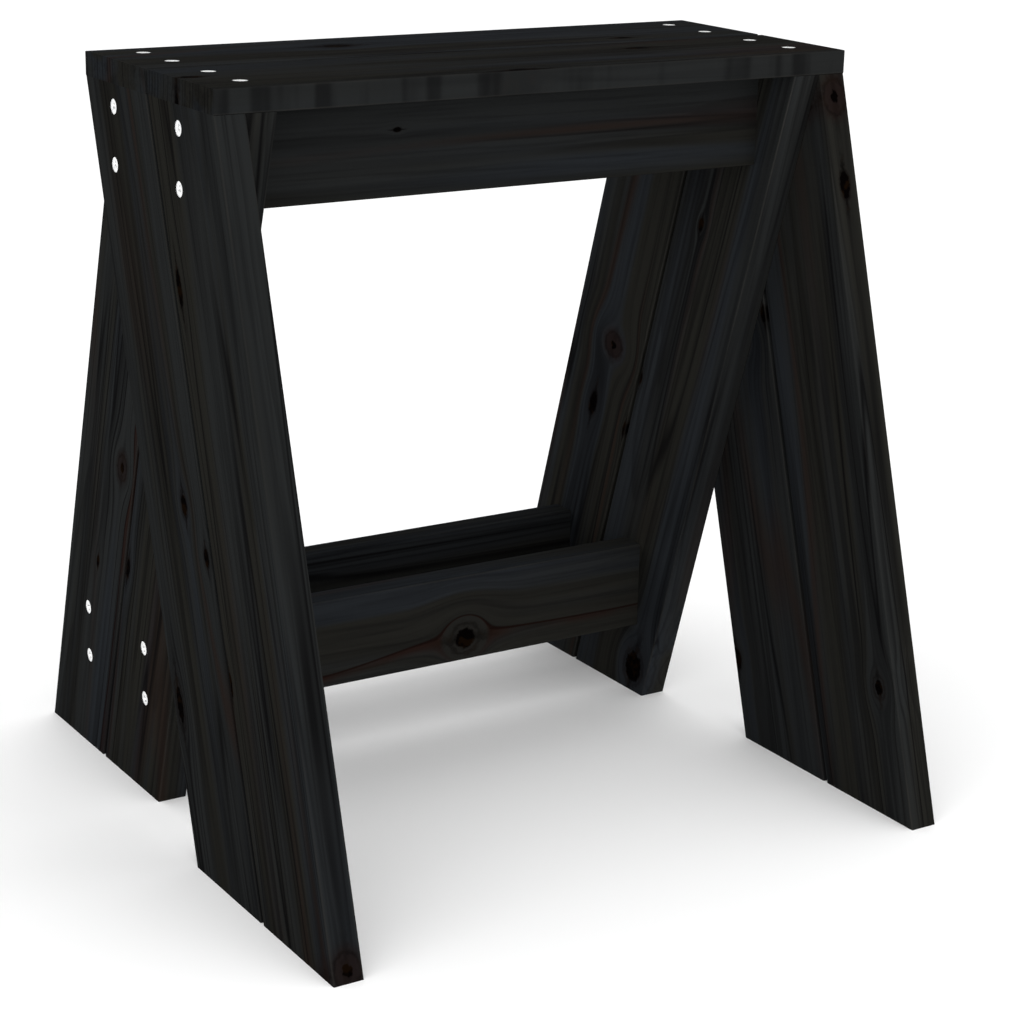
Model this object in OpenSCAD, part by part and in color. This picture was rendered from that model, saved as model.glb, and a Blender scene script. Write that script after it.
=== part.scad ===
// Low wooden sawhorse (step-stool size), screwed together from plain boards.
//
// The length runs along X, the front is -Y and the floor is z = 0. Each end has two legs that
// cross under the top: the outer leg slopes down to the front, the inner leg behind it slopes
// down to the rear. Every leg and the top are two boards wide, with a narrow gap between.
// Two upper rails and two lower rails join the inner legs. The origin is on the floor, under
// the middle of the top. All sizes are in millimetres.

/* [Overall size] */
// Length of the top, flush with the outer legs
length = 408; // [300:1:1200]
// Depth over the feet, front to rear
foot_depth = 420; // [300:1:700]
// Height of the top face above the floor
height = 445; // [350:1:900]

/* [Boards] */
// Width of the top, over both of its boards
top_width = 164; // [140:1:260]
// Thickness of the top boards
top_thickness = 13.5; // [12:0.5:25]
// Thickness of the leg boards and rails
board_thickness = 18; // [16:0.5:30]
// Gap between two boards that lie side by side
board_gap = 3; // [1:0.5:8]
// Height of a rail, on edge
rail_height = 57; // [45:1:90]
// Height of the lower rails above the floor
lower_rail_clearance = 48.5; // [20:0.5:120]
// Rounding of every board's long edges
edge_radius = 0.8; // [0.3:0.1:3]

/* [Screw positions] */
// Distance between the two screws of an upright pair
pair_pitch = 32; // [20:1:36]
// Distance between the two screws in one top board
top_screw_pitch = 38; // [24:1:44]
// Shift of the upper rails, and of all screws above them, towards the rear
rearward_shift = 3.25; // [0:0.25:6]
// Shift of the top's right row of screws from the inner leg's centre, outwards
right_row_shift = 4.5; // [-5:0.5:5]

/* [Screws] */
// Diameter of a screw's head
head_diameter = 8.6; // [8:0.1:9.6]
// Outer diameter of a screw's thread
thread_diameter = 4.5; // [4:0.1:5]
// Depth of a head below the wood's surface
head_sink = 0.3; // [0.1:0.05:1]
// Length of a screw through a top board
top_screw_length = 40; // [30:1:45]
// Length of a screw into an upper rail, through two leg boards
upper_screw_length = 70; // [60:1:90]
// Length of a screw into a lower rail, through one leg board
lower_screw_length = 50; // [40:1:70]

/* [Hidden] */
FRONT = -1;
REAR = 1;
LEFT = -1;
RIGHT = 1;
OUTER = -1; // the outer leg's foot is at the front
INNER = 1; // the inner leg's foot is at the rear

// Boards
leg_height = height - top_thickness;
board_run = (top_width - board_gap) / 2; // one board's width, measured level
board_pitch = board_run + board_gap;
leg_reach = (foot_depth - top_width) / 2; // how far a foot stands out past the top's edge
leg_angle = atan(leg_reach / leg_height);
leg_board_width = board_run * cos(leg_angle); // measured square to the slope
leg_stock_length = 1.5 * leg_height / cos(leg_angle); // long enough to be cut at both ends
rail_length = length - 4 * board_thickness;
upper_rail_z = leg_height - rail_height;

// Screws
head_radius = head_diameter / 2;
thread_radius = thread_diameter / 2;
root_radius = 0.7 * thread_radius;
head_rim = 0.4; // straight edge of the head, above its cone
seat_depth = head_rim + head_radius - thread_radius; // head's height, with a 90 degree cone
thread_pitch = 2.5;
point_length = 4.5;
smooth_share = 0.4; // share of a screw's length with no thread
recess_span = 4.8; // cross recess, from arm end to arm end
recess_arm = 1.2; // width of one arm
recess_depth = 2.2;
recess_tip = 0.8; // radius of the recess at its bottom
bore_clearance = 0.05; // between a thread and its hole, on the radius
bore_spare = 2; // depth of a hole past the screw's point
cut = 1; // how far a cutting shape runs past a face

round_fn = 48;

// ---- Places ----

// Middle of a board across the pair, for the front or the rear board
function board_y(row) = row * board_pitch / 2;

// How far a leg has moved sideways at height z, from its place under the top
function leg_offset(foot, z) = foot * leg_reach * (1 - z / leg_height);

// Middle of an upper rail and of a lower rail, front to rear
function upper_rail_y(row) = rearward_shift + board_y(row);
function lower_rail_y(row) = leg_offset(INNER, rail_mid_z(lower_rail_clearance)) + board_y(row);

function rail_mid_z(bottom_z) = bottom_z + rail_height / 2;

// Heights of an upright pair of screws, centred on a rail
function pair_z(bottom_z) = [for (side = [-1, 1]) rail_mid_z(bottom_z) + side * pair_pitch / 2];

// Places across the top of the two screws in one top board
function top_screw_y(row) = [for (side = [-1, 1]) upper_rail_y(row) + side * top_screw_pitch / 2];

// Place along the top of one end's row of screws, over the inner leg
function top_screw_x(end) = end * (length / 2 - 1.5 * board_thickness)
  + (end == RIGHT ? right_row_shift : 0);

// ---- Boards ----

// Section of a board, centred, with its four corners rounded
module eased_section(across, through) {
  square([across - 2 * edge_radius, through], center = true);
  square([across, through - 2 * edge_radius], center = true);
  for (side_x = [-1, 1], side_y = [-1, 1])
    translate([side_x * (across / 2 - edge_radius), side_y * (through / 2 - edge_radius)])
      circle(r = edge_radius, $fn = round_fn);
}

// A board that lies along X, centred on the origin
module lengthwise_board(run, across, through) {
  rotate([90, 0, 90])
    linear_extrude(run, center = true)
      eased_section(across, through);
}

// A leg board on a slope, cut level at the floor and under the top; x is its middle
module leg_board(x, foot, row) {
  intersection() {
    translate([x, board_y(row) + leg_offset(foot, leg_height / 2), leg_height / 2])
      rotate([foot * leg_angle, 0, 0])
        linear_extrude(leg_stock_length, center = true)
          eased_section(board_thickness, leg_board_width);
    translate([x - board_thickness, -foot_depth, 0])
      cube([2 * board_thickness, 2 * foot_depth, leg_height]);
  }
}

// ---- Screws and their holes ----

// Outline of a countersunk wood screw, head at z = 0 and point down, one ridge per turn
function screw_outline(total) =
  let (
    thread_top = -seat_depth - smooth_share * total,
    turns = floor((total - point_length + thread_top) / thread_pitch)
  )
  concat(
    [
      [0, 0],
      [head_radius, 0],
      [head_radius, -head_rim],
      [thread_radius, -seat_depth],
      [thread_radius, thread_top],
    ],
    [
      for (turn = [0:turns - 1])
        each [
          [root_radius, thread_top - (turn + 0.3) * thread_pitch],
          [root_radius, thread_top - (turn + 0.7) * thread_pitch],
          [thread_radius, thread_top - (turn + 1) * thread_pitch],
        ]
    ],
    [
      [root_radius, -(total - point_length) - 0.3 * thread_pitch],
      [0, -total],
    ]
  );

// Cross-shaped driver recess, narrowing towards its bottom
module cross_recess() {
  intersection() {
    translate([0, 0, -recess_depth])
      linear_extrude(recess_depth + cut)
        for (turn = [0, 90])
          rotate(turn)
            square([recess_span, recess_arm], center = true);
    translate([0, 0, -recess_depth])
      cylinder(h = recess_depth, r1 = recess_tip, r2 = recess_span / 2 + 0.1, $fn = round_fn);
  }
}

// A countersunk wood screw, its head at the origin and its point down
module wood_screw(total, turned) {
  difference() {
    rotate_extrude($fn = round_fn)
      polygon(screw_outline(total));
    rotate(turned)
      cross_recess();
  }
}

// The hole for one screw, from the face at z = 0 down, with the seat for its head
module screw_hole(total) {
  bore_radius = thread_radius + bore_clearance;
  seat_radius = head_radius + bore_clearance;
  rim_z = -head_sink - head_rim + bore_clearance;
  rotate_extrude($fn = round_fn)
    polygon([
      [0, cut],
      [seat_radius, cut],
      [seat_radius, rim_z],
      [bore_radius, rim_z - (seat_radius - bore_radius)],
      [bore_radius, -total - head_sink - bore_spare],
      [0, -total - head_sink - bore_spare - bore_radius],
    ]);
}

// ---- Where the screws go: each places its children once for every screw ----

// Down through the top, over one end's inner leg
module at_top_screws(end) {
  for (row = [FRONT, REAR], y = top_screw_y(row))
    translate([top_screw_x(end), y, height])
      children();
}

// In through both legs of one end, into the upper rails
module at_upper_rail_screws(end) {
  for (row = [FRONT, REAR], z = pair_z(upper_rail_z))
    translate([end * length / 2, upper_rail_y(row), z])
      rotate([0, end * 90, 0])
        children();
}

// In through the inner leg of one end, into the lower rails
module at_lower_rail_screws(end) {
  for (row = [FRONT, REAR], z = pair_z(lower_rail_clearance))
    translate([end * (length / 2 - board_thickness), lower_rail_y(row), z])
      rotate([0, end * 90, 0])
        children();
}

module top_screw_holes() {
  for (end = [LEFT, RIGHT])
    at_top_screws(end)
      screw_hole(top_screw_length);
}

module upper_rail_screw_holes() {
  for (end = [LEFT, RIGHT])
    at_upper_rail_screws(end)
      screw_hole(upper_screw_length);
}

module lower_rail_screw_holes() {
  for (end = [LEFT, RIGHT])
    at_lower_rail_screws(end)
      screw_hole(lower_screw_length);
}

// ---- Sub-parts ----

module stained_pine() {
  color([0.11, 0.11, 0.105]) children();
}

module bright_zinc() {
  color([0.82, 0.82, 0.8]) children();
}

// One of the two boards of the top
module top_board(row) {
  stained_pine()
    difference() {
      translate([0, board_y(row), height - top_thickness / 2])
        lengthwise_board(length, board_run, top_thickness);
      top_screw_holes();
    }
}

// One board of an outer leg, flush with the end of the top
module outer_leg_board(end, row) {
  stained_pine()
    difference() {
      leg_board(end * (length - board_thickness) / 2, OUTER, row);
      upper_rail_screw_holes();
    }
}

// One board of an inner leg, between the outer leg and the rails
module inner_leg_board(end, row) {
  stained_pine()
    difference() {
      leg_board(end * (length - 3 * board_thickness) / 2, INNER, row);
      top_screw_holes();
      upper_rail_screw_holes();
      lower_rail_screw_holes();
    }
}

// A rail under the top, between the inner legs
module upper_rail(row) {
  stained_pine()
    difference() {
      translate([0, upper_rail_y(row), rail_mid_z(upper_rail_z)])
        lengthwise_board(rail_length, board_thickness, rail_height);
      upper_rail_screw_holes();
    }
}

// A rail near the floor, between the inner legs
module lower_rail(row) {
  stained_pine()
    difference() {
      translate([0, lower_rail_y(row), rail_mid_z(lower_rail_clearance)])
        lengthwise_board(rail_length, board_thickness, rail_height);
      lower_rail_screw_holes();
    }
}

// One end's screws of each kind; the recesses are left turned as the driver stopped
module top_screws(end) {
  bright_zinc()
    at_top_screws(end)
      translate([0, 0, -head_sink])
        wood_screw(top_screw_length, 20);
}

module upper_rail_screws(end) {
  bright_zinc()
    at_upper_rail_screws(end)
      translate([0, 0, -head_sink])
        wood_screw(upper_screw_length, 65);
}

module lower_rail_screws(end) {
  bright_zinc()
    at_lower_rail_screws(end)
      translate([0, 0, -head_sink])
        wood_screw(lower_screw_length, 40);
}

top_board(FRONT);  // top_board_front
top_board(REAR);  // top_board_rear
outer_leg_board(LEFT, FRONT);  // left_outer_leg_front
outer_leg_board(LEFT, REAR);  // left_outer_leg_rear
inner_leg_board(LEFT, FRONT);  // left_inner_leg_front
inner_leg_board(LEFT, REAR);  // left_inner_leg_rear
outer_leg_board(RIGHT, FRONT);  // right_outer_leg_front
outer_leg_board(RIGHT, REAR);  // right_outer_leg_rear
inner_leg_board(RIGHT, FRONT);  // right_inner_leg_front
inner_leg_board(RIGHT, REAR);  // right_inner_leg_rear
upper_rail(FRONT);  // upper_rail_front
upper_rail(REAR);  // upper_rail_rear
lower_rail(FRONT);  // lower_rail_front
lower_rail(REAR);  // lower_rail_rear
top_screws(LEFT);  // top_screws_left
top_screws(RIGHT);  // top_screws_right
upper_rail_screws(LEFT);  // upper_rail_screws_left
upper_rail_screws(RIGHT);  // upper_rail_screws_right
lower_rail_screws(LEFT);  // lower_rail_screws_left
lower_rail_screws(RIGHT);  // lower_rail_screws_right
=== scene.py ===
"""Looks of the low wooden sawhorse: black-stained pine boards and bright zinc screws.

Every board and screw is a CAD node, shown as it is. Each board gets its own material: solid
growth rings that run along that board, bent round its own knots, under a thin black stain.
"""
import itertools
import math

import bpy
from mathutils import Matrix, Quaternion, Vector


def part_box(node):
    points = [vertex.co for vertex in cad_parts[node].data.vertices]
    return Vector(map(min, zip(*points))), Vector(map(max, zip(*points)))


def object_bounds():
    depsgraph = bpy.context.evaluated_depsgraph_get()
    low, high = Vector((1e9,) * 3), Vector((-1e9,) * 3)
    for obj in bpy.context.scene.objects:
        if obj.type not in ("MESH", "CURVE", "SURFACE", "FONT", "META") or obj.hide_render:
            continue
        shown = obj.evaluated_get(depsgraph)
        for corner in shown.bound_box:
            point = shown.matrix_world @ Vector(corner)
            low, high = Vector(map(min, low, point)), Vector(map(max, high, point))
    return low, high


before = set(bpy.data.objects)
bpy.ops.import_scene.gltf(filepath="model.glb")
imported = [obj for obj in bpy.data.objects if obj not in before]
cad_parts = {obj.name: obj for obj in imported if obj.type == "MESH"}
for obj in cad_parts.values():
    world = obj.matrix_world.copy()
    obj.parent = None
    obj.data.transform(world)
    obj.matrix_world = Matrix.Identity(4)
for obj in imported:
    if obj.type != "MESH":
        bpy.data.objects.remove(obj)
cad_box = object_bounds()

X_AXIS, Y_AXIS, Z_AXIS = Vector((1, 0, 0)), Vector((0, 1, 0)), Vector((0, 0, 1))
MM = 0.001

LOW, HIGH = cad_box
CENTRE = (LOW + HIGH) / 2
HEIGHT = HIGH.z - LOW.z

# Knots of each board: (place along, place across, radius in mm, length over width, black share).
# Places run from -1 to 1, and a slanted leg's front edge reaches a little past -1. Along counts
# upwards on a leg and to the right on the others. Across counts to the front on a leg, downwards on
# a rail and to the rear on the top. The rest of a knot, past its black share, is brown.
# A knot with ON_EDGE as its place across lies in the middle of the board's narrow edge instead.
ON_EDGE = 1
KNOTS = {
    "top_board_front": [
        (-0.97, 0.1, 4, 1.8, 1),
        (-0.10, -0.98, 4.5, 2.6, 1),
        (0.45, 0.37, 4, 2.4, 0.9),
    ],
    "top_board_rear": [(-0.32, 0.15, 6, 1.8, 0.9), (0.55, -0.6, 3, 2, 1)],
    "left_outer_leg_front": [
        (0.60, -0.84, 3, 4, 1),
        (-1.02, ON_EDGE, 8, 1.2, 0.4),
        (-0.35, -0.97, 2, 4, 1),
    ],
    "left_outer_leg_rear": [
        (-0.02, 0.36, 4, 2, 0.9),
        (-0.15, 0.88, 3, 2, 1),
        (-0.52, -0.78, 5, 3, 0.8),
    ],
    "left_inner_leg_front": [(-0.40, -0.94, 3, 2.6, 1), (0.45, 0.3, 5, 1.4, 0.6)],
    "left_inner_leg_rear": [
        (-0.04, 0.57, 6, 1.4, 0.45),
        (-0.39, 0.07, 2, 2.5, 1),
        (0.62, -0.2, 3, 1.6, 1),
    ],
    "right_outer_leg_front": [
        (0.89, ON_EDGE, 8, 1.3, 0.35),
        (0.66, ON_EDGE, 4, 2.2, 1),
        (-0.66, 0.62, 5, 1.5, 0.7),
    ],
    "right_outer_leg_rear": [
        (0.20, 0.22, 8, 1, 0.4),
        (0.26, 0.95, 3, 2, 1),
        (0.03, -0.56, 3.5, 1.8, 1),
        (-0.71, -0.93, 4, 1.8, 1),
    ],
    "right_inner_leg_front": [
        (-0.88, 0.6, 10.5, 1.3, 0.9),
        (0.52, -0.35, 2.5, 2, 1),
        (-0.03, -0.97, 1.6, 3, 1),
    ],
    "right_inner_leg_rear": [
        (0.10, 0.18, 9, 0.9, 0.35),
        (-0.12, -0.03, 4.5, 2.2, 1),
        (-0.11, 0.97, 2, 3, 1),
    ],
    "upper_rail_front": [(-0.45, -0.3, 1.4, 2, 1)],
    "upper_rail_rear": [(0.15, -0.3, 5, 1.5, 0.6)],
    "lower_rail_front": [(0.21, 0.49, 10, 1.1, 0.72)],
    "lower_rail_rear": [(-0.1, 0.4, 3, 1.6, 1)],
}

# Where heartwood begins across a board, and how much further out at its low or left end, as
# shares of half its width. The other boards have none.
HEARTWOOD = {
    "lower_rail_front": (0.45, 0.30),
    "left_inner_leg_rear": (0.88, 0.0),
}
NO_HEARTWOOD = (2.0, 0.0)

# How light each board's colour is painted, next to the boards that aren't listed: partly the board's own
# stain tone and partly painted light, lighter on the boards that stand in shade (the right-hand inner
# legs, the lower front rail) and darker on some brightly lit ones. Also how strong its grain lines are.
STAIN_TONE_AND_PAINTED_LIGHT = {
    "top_board_front": (0.93, 1.0),
    "left_outer_leg_front": (0.95, 1.0),
    "left_outer_leg_rear": (0.93, 1.0),
    "right_outer_leg_front": (1.05, 1.0),
    "right_inner_leg_front": (1.3, 1.0),
    "right_inner_leg_rear": (1.3, 1.0),
    "upper_rail_front": (0.88, 0.8),
    "lower_rail_front": (1.2, 0.45),
}
UNCHANGED_TONE_AND_LINES = (1.0, 1.0)


# ---- Boards: where each one lies ----

def board_frame(name):
    """A board's middle, its three directions, and half its length, width and thickness."""
    low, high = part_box(name)
    size = high - low
    if "leg" in name:
        # A leg's level cuts are as wide as a top board
        level_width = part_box("top_board_front")[1].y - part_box("top_board_front")[0].y
        foot = -1 if "outer" in name else 1
        along = Vector((0, -foot * (size.y - level_width), size.z)).normalized()
        through = X_AXIS
        width = level_width * along.z
        thickness = size.x
    elif "rail" in name:
        along, through = X_AXIS, Y_AXIS
        width, thickness = size.z, size.y
    else:
        along, through = X_AXIS, Z_AXIS
        width, thickness = size.y, size.z
    across = through.cross(along)
    length = size.z / along.z if "leg" in name else size.x
    return {
        "middle": (low + high) / 2,
        "along": along,
        "across": across,
        "through": through,
        "half": Vector((length, width, thickness)) / 2,
    }


# ---- Shader building ----

class Graph:
    """Adds shader nodes to a tree. Each call adds one node, wires it up and returns its output."""

    def __init__(self, tree):
        self.tree = tree

    def node(self, kind, inputs=(), **settings):
        """One node with its settings, and its input sockets fed by name or number."""
        made = self.tree.nodes.new(kind)
        for key, value in settings.items():
            setattr(made, key, value)
        for key, value in dict(inputs).items():
            self.feed(made.inputs[key], value)
        return made

    def feed(self, socket, value):
        """A link from another socket, or a plain value."""
        if isinstance(value, bpy.types.NodeSocket):
            self.tree.links.new(value, socket)
        else:
            socket.default_value = value

    def math(self, operation, *values):
        made = self.node("ShaderNodeMath", operation=operation)
        for socket, value in zip(made.inputs, values):
            self.feed(socket, value)
        return made.outputs[0]

    def vector(self, operation, *values):
        made = self.node("ShaderNodeVectorMath", operation=operation)
        for socket, value in zip(made.inputs, values):
            self.feed(socket, value)
        scalar = operation in ("DOT_PRODUCT", "LENGTH")
        return made.outputs["Value" if scalar else "Vector"]

    def combine(self, x, y, z):
        return self.node("ShaderNodeCombineXYZ", {0: x, 1: y, 2: z}).outputs[0]

    def separate(self, value):
        return self.node("ShaderNodeSeparateXYZ", {0: value}).outputs

    def step(self, value, low, high, to_low=0.0, to_high=1.0):
        """A smooth step: to_low where value is under low, to_high where it is over high."""
        inputs = {"Value": value, "From Min": low, "From Max": high, "To Min": to_low, "To Max": to_high}
        made = self.node("ShaderNodeMapRange", inputs, interpolation_type="SMOOTHSTEP")
        return made.outputs["Result"]

    def noise(self, point, scale=1.0, detail=2.0):
        inputs = {"Vector": point, "Scale": scale, "Detail": detail}
        return self.node("ShaderNodeTexNoise", inputs).outputs[0]

    def chance(self, value):
        """A random number from 0 to 1 that stays the same for one value."""
        made = self.node("ShaderNodeTexWhiteNoise", {"W": value}, noise_dimensions="1D")
        return made.outputs["Value"]

    def mix(self, share, first, second):
        """A colour between two, from the first at share 0 to the second at share 1."""
        made = self.node("ShaderNodeMix", data_type="RGBA")
        sockets = (made.inputs[0], made.inputs[6], made.inputs[7])
        for socket, value in zip(sockets, (share, first, second)):
            self.feed(socket, value)
        return made.outputs[2]

    def bump(self, height, strength, distance):
        """Normals for a relief of this height; strength and distance say how deep it looks."""
        inputs = {"Height": height, "Strength": strength, "Distance": distance}
        return self.node("ShaderNodeBump", inputs).outputs["Normal"]

    def surface(self, inputs):
        """Ends a material with one Principled shader."""
        shader = self.node("ShaderNodeBsdfPrincipled", inputs)
        self.node("ShaderNodeOutputMaterial", {"Surface": shader.outputs[0]})


def new_material(name):
    """An empty node material, and the graph that fills it."""
    material = bpy.data.materials.new(name)
    material.use_nodes = True
    material.node_tree.nodes.clear()
    return material, Graph(material.node_tree)


def new_group(name, inputs, outputs):
    """An empty node group with these (socket name, kind) inputs and outputs, and its graph."""
    tree = bpy.data.node_groups.new(name, "ShaderNodeTree")
    for direction, sockets in (("INPUT", inputs), ("OUTPUT", outputs)):
        for label, kind in sockets:
            tree.interface.new_socket(label, in_out=direction, socket_type="NodeSocket" + kind)
    graph = Graph(tree)
    return graph, graph.node("NodeGroupInput").outputs, graph.node("NodeGroupOutput").inputs


# ---- Black-stained pine ----

RING = 3.6 * MM  # one year's growth
WANDER = 7 * MM  # how far the rings stray along a board
PITH_LEAN = 0.03  # how far the pith moves through the board for each step along it
KNOT_LEAN = 0.25  # how far a knot moves along the board for each step through it
KNOT_ENDS = (14 * MM, 26 * MM)  # how deep in the board a knot starts to fade, and is gone
RUBBED_WIDTH = 1.4 * MM  # how far from a long edge the stain is rubbed
FACES = (0.6, 0.9)  # how squarely a surface has to face a way to start to count, and count in full
# Squared distances from a knot's middle, in its radii, where something starts to fade and is gone
FLOW_ENDS = (3.0, 26.0)  # the grain's way round the knot
INSIDE_ENDS = (1.9, 3.2)  # the wood round the knot that heartwood doesn't reach
COOL_BLACK = (0.0130, 0.0148, 0.0170, 1)
WARM_BLACK = (0.0120, 0.0118, 0.0102, 1)
GREY_BLACK = (0.0132, 0.0141, 0.0142, 1)
DARK_LINE = (0.0022, 0.0021, 0.0023, 1)
BROWN = (0.0150, 0.0094, 0.0072, 1)
RED_BROWN = (0.0120, 0.0050, 0.0036, 1)
DARK_RED = (0.0052, 0.0020, 0.0016, 1)
KNOT_BROWN = (0.0082, 0.0052, 0.0047, 1)
KNOT_HEART = (0.0009, 0.0006, 0.0006, 1)
RESIN = (0.0040, 0.0021, 0.0010, 1)
WORN_EDGE = (0.0230, 0.0220, 0.0200, 1)
SHEEN = 0.0005  # the stain is nearly matt, so even a low look along it shows no white haze
SEED_STEP = 3.7  # how far one board's noise lies from the next one's
WAYS = ("along", "across", "through")


def knot_group():
    """One knot: a stub of branch through the board, with the grain pushed aside round it."""
    graph, given, made = new_group(
        "Knot",
        [
            ("Point", "Vector"), ("Along", "Float"), ("Across", "Float"),
            ("Radius", "Float"), ("Stretch", "Float"), ("Black share", "Float"),
        ],
        [("Shift", "Float"), ("Heart", "Float"), ("Halo", "Float"), ("Inside", "Float")],
    )
    along, across, through = graph.separate(given["Point"])
    lean = graph.math("MULTIPLY", through, KNOT_LEAN)
    from_along = graph.math("SUBTRACT", graph.math("SUBTRACT", along, given["Along"]), lean)
    from_across = graph.math("SUBTRACT", across, given["Across"])
    run = graph.math("DIVIDE", from_along, graph.math("MULTIPLY", given["Radius"], given["Stretch"]))
    rise = graph.math("DIVIDE", from_across, given["Radius"])
    squared = graph.math("ADD", graph.math("MULTIPLY", run, run), graph.math("MULTIPLY", rise, rise))
    ragged = graph.math("SUBTRACT", graph.noise(given["Point"], scale=330, detail=3), 0.5)
    reach = graph.math("ADD", graph.math("SQRT", squared), graph.math("MULTIPLY", ragged, 0.6))
    buried = graph.step(graph.math("ABSOLUTE", through), *KNOT_ENDS, 1.0, 0.0)

    # The grain flows round it, out to a few times its radius, and none of it crosses the middle
    fade = graph.step(squared, *FLOW_ENDS, 1.0, 0.0)
    push = graph.math("DIVIDE", fade, graph.math("MAXIMUM", graph.math("DIVIDE", squared, 2.2), 1.0))
    graph.feed(made["Shift"], graph.math("MULTIPLY", from_across, push))
    graph.feed(made["Inside"], graph.step(squared, *INSIDE_ENDS, 1.0, 0.0))

    # Black inside its black share, brown past that, with a thin dark rim; it ends deep in the board
    core_end = graph.math("MULTIPLY", given["Black share"], 1.1)
    core = graph.step(reach, graph.math("MULTIPLY", core_end, 0.7), core_end, 1.0, 0.0)
    rim = graph.math("MULTIPLY", graph.step(reach, 0.8, 1.0), graph.step(reach, 1.0, 1.25, 0.45, 0.0))
    tail = graph.math(
        "MULTIPLY",
        graph.step(graph.math("ABSOLUTE", graph.math("ADD", rise, ragged)), 0.05, 0.45, 1.0, 0.0),
        graph.step(graph.math("ABSOLUTE", run), 0.8, 2.8, 0.8, 0.0),
    )
    tail = graph.math("MULTIPLY", tail, given["Black share"])
    heart = graph.math("MAXIMUM", graph.math("MAXIMUM", core, rim), tail)
    graph.feed(made["Heart"], graph.math("MULTIPLY", heart, buried))
    warmth = graph.math("MULTIPLY", graph.step(given["Black share"], 0.3, 0.7, 0.9, 0.2), buried)
    graph.feed(made["Halo"], graph.math("MULTIPLY", graph.step(reach, 0.7, 1.9, 1.0, 0.0), warmth))
    return graph.tree


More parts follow.
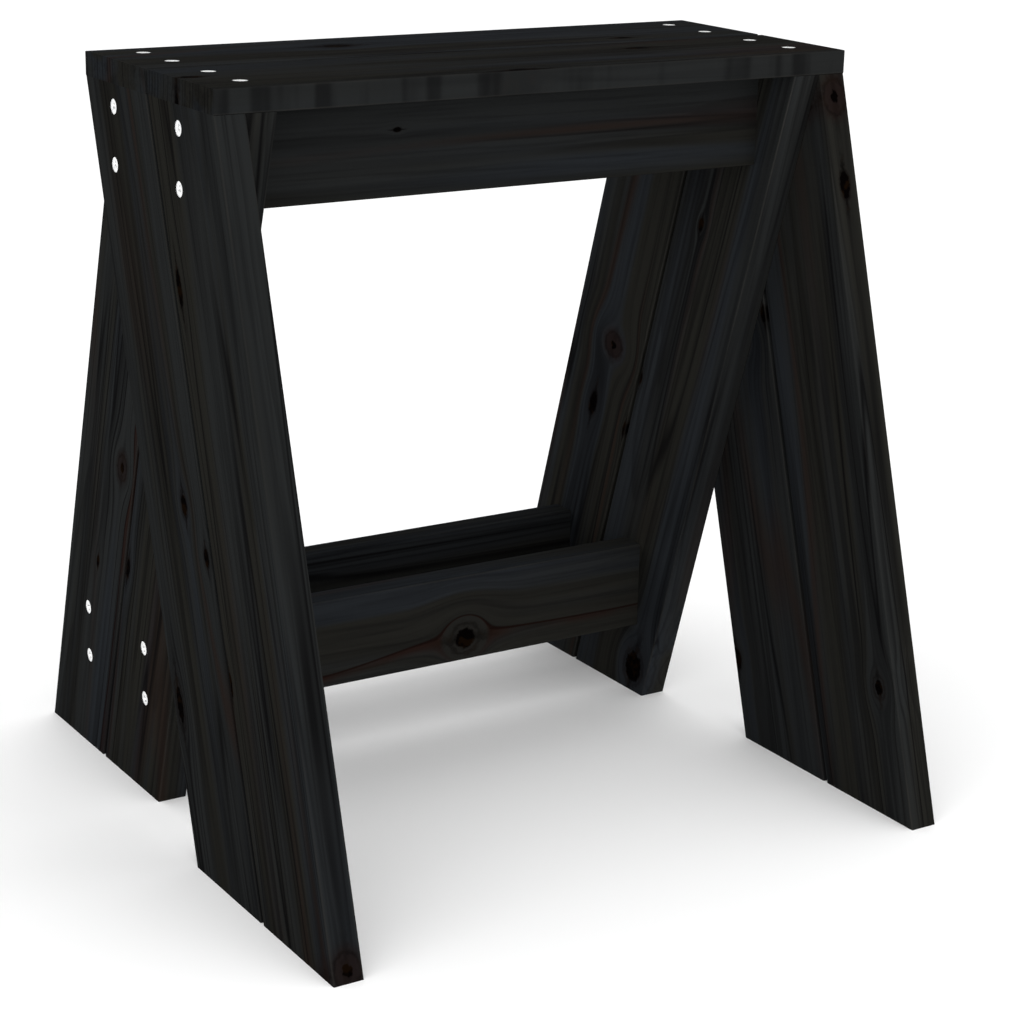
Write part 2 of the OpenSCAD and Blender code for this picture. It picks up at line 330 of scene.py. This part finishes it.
class Pine:
    """Solid stained pine at one point of a board, worked out layer by layer."""

    def __init__(self, graph, given):
        self.graph = graph
        self.given = given
        self.along, self.across, self.through = graph.separate(given["Point"])
        self.bent_across = graph.math("SUBTRACT", self.across, given["Shift"])
        facing_end, self.facing_side, _ = graph.separate(given["Facing"])
        self.end_grain = graph.step(facing_end, *FACES)
        self.next_place = itertools.count(5.0, 12.0)

    def streaks(self, long_scale, wide_scale, detail):
        """Noise drawn out along the grain, new at each call; the scales are in cycles per metre."""
        graph = self.graph
        along = graph.math("MULTIPLY", self.along, long_scale)
        across = graph.math("MULTIPLY", self.bent_across, wide_scale)
        point = graph.combine(
            graph.math("ADD", along, self.given["Seed"]),
            graph.math("ADD", across, next(self.next_place)),
            graph.math("MULTIPLY", self.through, wide_scale),
        )
        return graph.noise(point, detail=detail)

    def veins(self, long_scale, wide_scale, width):
        """Thin lines along the grain, where drawn-out noise passes its middle value."""
        graph = self.graph
        offset = graph.math("SUBTRACT", self.streaks(long_scale, wide_scale, detail=1), 0.5)
        return graph.step(graph.math("ABSOLUTE", offset), 0.0, width, 1.0, 0.0)

    def ring_lines(self):
        """The late wood of growth rings round a pith that leans a little and wanders."""
        graph, given = self.graph, self.given
        stray = graph.math("SUBTRACT", self.streaks(2.2, 11, detail=3), 0.5)
        wander = graph.math("MULTIPLY", stray, 2 * WANDER)
        lean = graph.math("MULTIPLY", self.along, PITH_LEAN)
        from_pith = graph.combine(
            0.0,
            graph.math("SUBTRACT", self.bent_across, given["Pith across"]),
            graph.math("SUBTRACT", self.through, graph.math("SUBTRACT", given["Pith through"], lean)),
        )
        years = graph.math("DIVIDE", graph.math("ADD", graph.vector("LENGTH", from_pith), wander), RING)
        season = graph.math("FRACT", years)
        late = graph.math(
            "MULTIPLY",
            graph.step(season, 0.4, 0.9),
            graph.step(season, 0.92, 1.0, 1.0, 0.0),
        )
        strong = graph.chance(graph.math("ADD", graph.math("FLOOR", years), given["Seed"]))
        late = graph.math("MULTIPLY", late, graph.step(strong, 0.1, 0.9))
        # They show most on the cut ends
        share = graph.math("ADD", graph.math("MULTIPLY", self.end_grain, 0.35), 0.4)
        return graph.math("MULTIPLY", late, share)

    def dark_lines(self):
        """Thin dark lines: the rings, and on the long faces a few bold and many faint ones too."""
        graph = self.graph
        rings = self.ring_lines()
        patchy = graph.step(self.streaks(3, 22, detail=2), 0.40, 0.58, 0.15, 1.0)
        bold = graph.math("MULTIPLY", self.veins(1.2, 52, width=0.032), patchy)
        faint = graph.math(
            "MULTIPLY",
            self.veins(2.0, 120, width=0.09),
            graph.math("MULTIPLY", patchy, 0.6),
        )
        long_grain = graph.math("SUBTRACT", 1.0, self.end_grain)
        dark = graph.math("MULTIPLY", graph.math("MAXIMUM", bold, faint), long_grain)
        return graph.math("MULTIPLY", graph.math("MAXIMUM", dark, rings), self.given["Lines"])

    def stain(self, dark):
        """The stain's colour, cooler and warmer in broad streaks and thicker and thinner in narrow
        ones, under the dark lines. Also returns the fine fibres, which show in the relief too."""
        graph = self.graph
        warmth = graph.step(self.streaks(1.3, 40, detail=2), 0.44, 0.60)
        cool = graph.step(self.streaks(1.2, 26, detail=2), 0.48, 0.62)
        color = graph.mix(cool, GREY_BLACK, COOL_BLACK)
        color = graph.mix(warmth, color, WARM_BLACK)
        thick = graph.step(self.streaks(2.0, 70, detail=2), 0.32, 0.5, 0.32, 0.0)
        thick = graph.math("MULTIPLY", thick, self.given["Lines"])
        fibre = self.streaks(14, 480, detail=2)
        thick = graph.math("ADD", thick, graph.step(fibre, 0.45, 0.75, 0.0, 0.25))
        color = graph.mix(thick, color, DARK_LINE)
        brown = graph.math(
            "MULTIPLY",
            self.veins(1.1, 15, width=0.035),
            graph.step(self.streaks(2.5, 9, detail=1), 0.42, 0.62),
        )
        color = graph.mix(graph.math("MULTIPLY", brown, 0.65), color, BROWN)
        color = graph.mix(graph.math("MULTIPLY", dark, 0.85), color, DARK_LINE)
        return color, fibre

    def heartwood(self, color):
        """Red-brown in patches under a thin dark red line, fading away from it."""
        graph, given = self.graph, self.given
        fall = graph.step(self.along, -70 * MM, 10 * MM, given["Heartwood fall"], 0.0)
        start = graph.math("ADD", given["Heartwood"], fall)
        waver = graph.math("MULTIPLY", graph.math("SUBTRACT", self.streaks(7, 9, detail=2), 0.5), 6 * MM)
        below = graph.math("ADD", graph.math("SUBTRACT", self.bent_across, start), waver)
        patch_point = graph.combine(graph.math("MULTIPLY", self.along, 9), given["Seed"], 0.0)
        patches = graph.step(graph.noise(patch_point), 0.44, 0.56, 0.1, 0.75)
        flame = graph.math("MULTIPLY", graph.step(below, 0.0, 0.8 * MM), patches)
        flame = graph.math("MULTIPLY", flame, graph.step(below, 1 * MM, 7 * MM, 1.0, 0.0))
        flame = graph.math("MULTIPLY", flame, graph.math("SUBTRACT", 1.0, given["Inside"]))
        color = graph.mix(flame, color, RED_BROWN)
        border = graph.step(graph.math("ABSOLUTE", below), 0.3 * MM, 1.0 * MM, 0.8, 0.0)
        return graph.mix(border, color, DARK_RED)

    def knots(self, color):
        """Brown wood in and round the knots, and black at their hearts with resin here and there."""
        graph, given = self.graph, self.given
        color = graph.mix(given["Halo"], color, KNOT_BROWN)
        resin = graph.step(graph.noise(given["Point"], scale=160, detail=3), 0.48, 0.62)
        return graph.mix(given["Heart"], color, graph.mix(resin, KNOT_HEART, RESIN))

    def planer_bars(self, color):
        """The dark bars that the planer leaves across the top boards' long edges."""
        graph, given = self.graph, self.given
        bar_point = graph.combine(
            graph.math("MULTIPLY", self.along, 60),
            graph.math("MULTIPLY", self.through, 6),
            given["Seed"],
        )
        on_edge = graph.math("MULTIPLY", graph.step(self.facing_side, *FACES), given["Edge bars"])
        bars = graph.step(graph.noise(bar_point, detail=2), 0.48, 0.68, 0.0, 0.55)
        color = graph.mix(graph.math("MULTIPLY", on_edge, 0.75), color, GREY_BLACK)
        return graph.mix(graph.math("MULTIPLY", on_edge, bars), color, DARK_LINE)

    def cut_and_rubbed(self, color):
        """Cut ends drink more stain, and the stain is rubbed a little thinner along the long edges."""
        graph = self.graph
        _, half_width, half_thickness = graph.separate(self.given["Half size"])
        color = graph.mix(graph.math("MULTIPLY", self.end_grain, 0.2), color, DARK_LINE)
        from_side = graph.math("SUBTRACT", half_width, graph.math("ABSOLUTE", self.across))
        from_face = graph.math("SUBTRACT", half_thickness, graph.math("ABSOLUTE", self.through))
        near_edge = graph.math(
            "MULTIPLY",
            graph.step(from_side, 0.0, RUBBED_WIDTH, 1.0, 0.0),
            graph.step(from_face, 0.0, RUBBED_WIDTH, 1.0, 0.0),
        )
        uneven = graph.step(self.streaks(9, 40, detail=3), 0.42, 0.7, 0.1, 0.6)
        return graph.mix(graph.math("MULTIPLY", near_edge, uneven), color, WORN_EDGE)

    def roughness(self, dark, fibre):
        """The dark lines are shinier and the cut ends rougher."""
        graph = self.graph
        rough = graph.math("SUBTRACT", 0.7, graph.math("MULTIPLY", dark, 0.15))
        uneven = graph.math("MULTIPLY", graph.math("SUBTRACT", fibre, 0.5), 0.25)
        rough = graph.math("ADD", rough, uneven)
        return graph.math("ADD", rough, graph.math("MULTIPLY", self.end_grain, 0.15))

    def relief(self, dark, fibre):
        """The hard dark lines stand proud of the fibres, and the knots' hearts are sunk."""
        graph = self.graph
        height = graph.math("ADD", graph.math("MULTIPLY", dark, 0.5), graph.math("MULTIPLY", fibre, 0.6))
        return graph.math("SUBTRACT", height, graph.math("MULTIPLY", self.given["Heart"], 0.8))


def pine_group():
    """Solid stained pine, from a point in the board and what its knots do there."""
    graph, given, made = new_group(
        "Stained pine",
        [
            ("Point", "Vector"), ("Half size", "Vector"), ("Facing", "Vector"), ("Seed", "Float"),
            ("Pith across", "Float"), ("Pith through", "Float"),
            ("Edge bars", "Float"), ("Lines", "Float"),
            ("Heartwood", "Float"), ("Heartwood fall", "Float"),
            ("Shift", "Float"), ("Heart", "Float"), ("Halo", "Float"), ("Inside", "Float"),
        ],
        [("Color", "Color"), ("Roughness", "Float"), ("Height", "Float")],
    )
    pine = Pine(graph, given)
    dark = pine.dark_lines()
    color, fibre = pine.stain(dark)
    for layer in (pine.heartwood, pine.knots, pine.planer_bars, pine.cut_and_rubbed):
        color = layer(color)
    graph.feed(made["Color"], color)
    graph.feed(made["Roughness"], pine.roughness(dark, fibre))
    graph.feed(made["Height"], pine.relief(dark, fibre))
    return graph.tree


def add_knots(graph, name, half, point):
    """All the knots of one board at this point, added up into the pine group's inputs."""
    # A knot on the narrow edge runs in from that edge instead of through the board
    along_part, across_part, through_part = graph.separate(point)
    edge_point = graph.combine(along_part, through_part, graph.math("SUBTRACT", across_part, half.y))
    totals = {"Shift": 0.0, "Heart": 0.0, "Halo": 0.0, "Inside": 0.0}
    for along, across, radius, stretch, black_share in KNOTS[name]:
        on_edge = across == ON_EDGE
        inputs = {
            "Point": edge_point if on_edge else point,
            "Along": along * half.x,
            "Across": 0.0 if on_edge else across * half.y,
            "Radius": radius * MM,
            "Stretch": stretch,
            "Black share": float(black_share),
        }
        knot = graph.node("ShaderNodeGroup", node_tree=KNOT)
        for label, value in inputs.items():
            graph.feed(knot.inputs[label], value)
        if not on_edge:
            totals["Shift"] = graph.math("ADD", totals["Shift"], knot.outputs["Shift"])
        for label in ("Heart", "Halo", "Inside"):
            totals[label] = graph.math("MAXIMUM", totals[label], knot.outputs[label])
    return totals


def pith_place(name, seed, half):
    """Where the pith lies, across and through from the board's middle. It is beside a top board, so
    that the rings stand upright on its ends, and in front of or behind the others, so that they
    are arcs."""
    side = 1 if seed % 2 else -1
    if "top" in name:
        return side * (half.y + 60 * MM), 0.0
    return math.sin(seed * 2.4) * 0.6 * half.y, side * (half.z + (12 + 9 * (seed % 3)) * MM)


def stained_pine(name, seed):
    """The material of one board, with its grain along that board."""
    board = board_frame(name)
    half = board["half"]
    material, graph = new_material("stained_pine_" + name)
    coordinates = graph.node("ShaderNodeTexCoord").outputs

    def in_board(direction_or_place):
        """A vector's parts along, across and through the board."""
        parts = (graph.vector("DOT_PRODUCT", direction_or_place, board[way]) for way in WAYS)
        return graph.combine(*parts)

    point = in_board(graph.vector("SUBTRACT", coordinates["Object"], board["middle"]))
    facing = graph.vector("ABSOLUTE", in_board(coordinates["Normal"]))
    pith_across, pith_through = pith_place(name, seed, half)
    heartwood, fall = HEARTWOOD.get(name, NO_HEARTWOOD)
    own_tone_and_painted_light, line_strength = STAIN_TONE_AND_PAINTED_LIGHT.get(name, UNCHANGED_TONE_AND_LINES)
    pine = graph.node("ShaderNodeGroup", node_tree=PINE)
    inputs = {
        "Point": point,
        "Half size": half,
        "Facing": facing,
        "Seed": SEED_STEP * seed,
        "Pith across": pith_across,
        "Pith through": pith_through,
        "Edge bars": float("top" in name),
        "Lines": line_strength,
        "Heartwood": heartwood * half.y,
        "Heartwood fall": fall * half.y,
        **add_knots(graph, name, half, point),
    }
    for label, value in inputs.items():
        graph.feed(pine.inputs[label], value)
    # Scales the whole colour: partly the board's own stain tone, partly painted light that lifts the
    # boards in shade and darkens some brightly lit ones
    scaled_for_painted_light = {0: pine.outputs["Color"], "Scale": own_tone_and_painted_light}
    color = graph.node("ShaderNodeVectorMath", scaled_for_painted_light, operation="SCALE").outputs["Vector"]
    graph.surface({
        "Base Color": color,
        "Roughness": pine.outputs["Roughness"],
        "Normal": graph.bump(pine.outputs["Height"], strength=0.3, distance=0.15 * MM),
        "Specular IOR Level": SHEEN,
    })
    return material


# ---- Bright zinc ----

BRIGHT_ZINC = (0.93, 0.93, 0.92, 1)
CLOUDY_ZINC = (0.80, 0.81, 0.82, 1)


def bright_zinc():
    """Zinc-plated steel: bright, in parts slightly cloudy, with a fine grit."""
    material, graph = new_material("bright_zinc")
    place = graph.node("ShaderNodeTexCoord").outputs["Object"]
    cloud = graph.noise(place, scale=700, detail=3)
    grit = graph.noise(place, scale=9000, detail=2)
    graph.surface({
        "Base Color": graph.mix(graph.step(cloud, 0.35, 0.7), BRIGHT_ZINC, CLOUDY_ZINC),
        "Metallic": 1.0,
        "Roughness": graph.math("ADD", 0.28, graph.math("MULTIPLY", cloud, 0.2)),
        "Normal": graph.bump(grit, strength=0.15, distance=0.05 * MM),
    })
    return material


KNOT = knot_group()
PINE = pine_group()
ZINC = bright_zinc()


def wear(obj, material):
    """Puts one material on the whole of a CAD node."""
    obj.data.materials.clear()
    obj.data.materials.append(material)


for seed, name in enumerate(sorted(KNOTS), start=1):
    wear(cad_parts[name], stained_pine(name, seed))
for name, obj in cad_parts.items():
    if "screws" in name:
        wear(obj, ZINC)


# ---- Studio ----

FLOOR_WHITE = 0.98  # pale enough to come out white everywhere but in the object's shadow
FLOOR_MOTTLE = 0.99  # how light the floor's darkest spots are, next to the rest
WORLD_STRENGTH = 1.12
EYE_AZIMUTH, EYE_ELEVATION, EYE_ROLL = -31.4, 15.6, 1.3  # degrees
EYE_DISTANCE = 3.357  # from the object's middle, in heights of the object
AIM = (0.035, -0.058, -0.111)  # from the object's middle, in heights of the object
SENSOR_WIDTH, LENS = 36, 87.7  # mm


def pale_floor():
    """A white, nearly matt surface with a faint mottle."""
    material, graph = new_material("pale_floor")
    place = graph.node("ShaderNodeTexCoord").outputs["Object"]
    mottle = graph.noise(place, scale=3, detail=3)
    pale = (FLOOR_WHITE, FLOOR_WHITE, FLOOR_WHITE, 1)
    darker = tuple(FLOOR_MOTTLE * part for part in pale[:3]) + (1,)
    graph.surface({
        "Base Color": graph.mix(mottle, pale, darker),
        "Roughness": 0.8,
        "Specular IOR Level": 0.1,
    })
    return material


def add_floor():
    """A wide pale floor under the feet."""
    reach = 60 * HEIGHT
    mesh = bpy.data.meshes.new("floor")
    signs = ((-1, -1), (1, -1), (1, 1), (-1, 1))
    corners = [(x * reach, y * reach, LOW.z) for x, y in signs]
    mesh.from_pydata(corners, [], [(0, 1, 2, 3)])
    floor = bpy.data.objects.new("floor", mesh)
    floor.data.materials.append(pale_floor())
    bpy.context.scene.collection.objects.link(floor)


def add_soft_light(name, direction, distance, size, power):
    """A square area light that faces the object's middle."""
    light = bpy.data.lights.new(name, "AREA")
    light.size = size
    light.energy = power
    obj = bpy.data.objects.new(name, light)
    direction = Vector(direction).normalized()
    obj.location = CENTRE + direction * distance
    obj.rotation_euler = direction.to_track_quat("Z", "Y").to_euler()
    bpy.context.scene.collection.objects.link(obj)


def add_world():
    """An even pale surrounding, as a white studio tent gives."""
    world = bpy.data.worlds.new("studio")
    world.use_nodes = True
    background = world.node_tree.nodes["Background"]
    background.inputs["Color"].default_value = (1, 1, 1, 1)
    background.inputs["Strength"].default_value = WORLD_STRENGTH
    bpy.context.scene.world = world


def add_camera():
    """An eye off the left front corner, looking a little down, with the picture turned slightly."""
    azimuth, elevation = math.radians(EYE_AZIMUTH), math.radians(EYE_ELEVATION)
    back = Vector((
        math.sin(azimuth) * math.cos(elevation),
        -math.cos(azimuth) * math.cos(elevation),
        math.sin(elevation),
    ))
    camera = bpy.data.cameras.new("camera")
    camera.sensor_width = SENSOR_WIDTH
    camera.lens = LENS
    obj = bpy.data.objects.new("camera", camera)
    obj.location = CENTRE + back * EYE_DISTANCE * HEIGHT
    aim = CENTRE + HEIGHT * Vector(AIM)
    looking = (aim - obj.location).to_track_quat("-Z", "Y")
    roll = Quaternion(Z_AXIS, math.radians(EYE_ROLL))
    obj.rotation_mode = "QUATERNION"
    obj.rotation_quaternion = looking @ roll
    bpy.context.scene.collection.objects.link(obj)
    bpy.context.scene.camera = obj


add_floor()
add_world()
add_soft_light("key", direction=(-0.9, -0.5, 0.2), distance=2.2, size=2.0, power=17)
add_soft_light("fill", direction=(0.15, -1.0, 0.2), distance=2.6, size=2.0, power=25)
add_camera()
bpy.context.scene.view_settings.view_transform = "Standard"
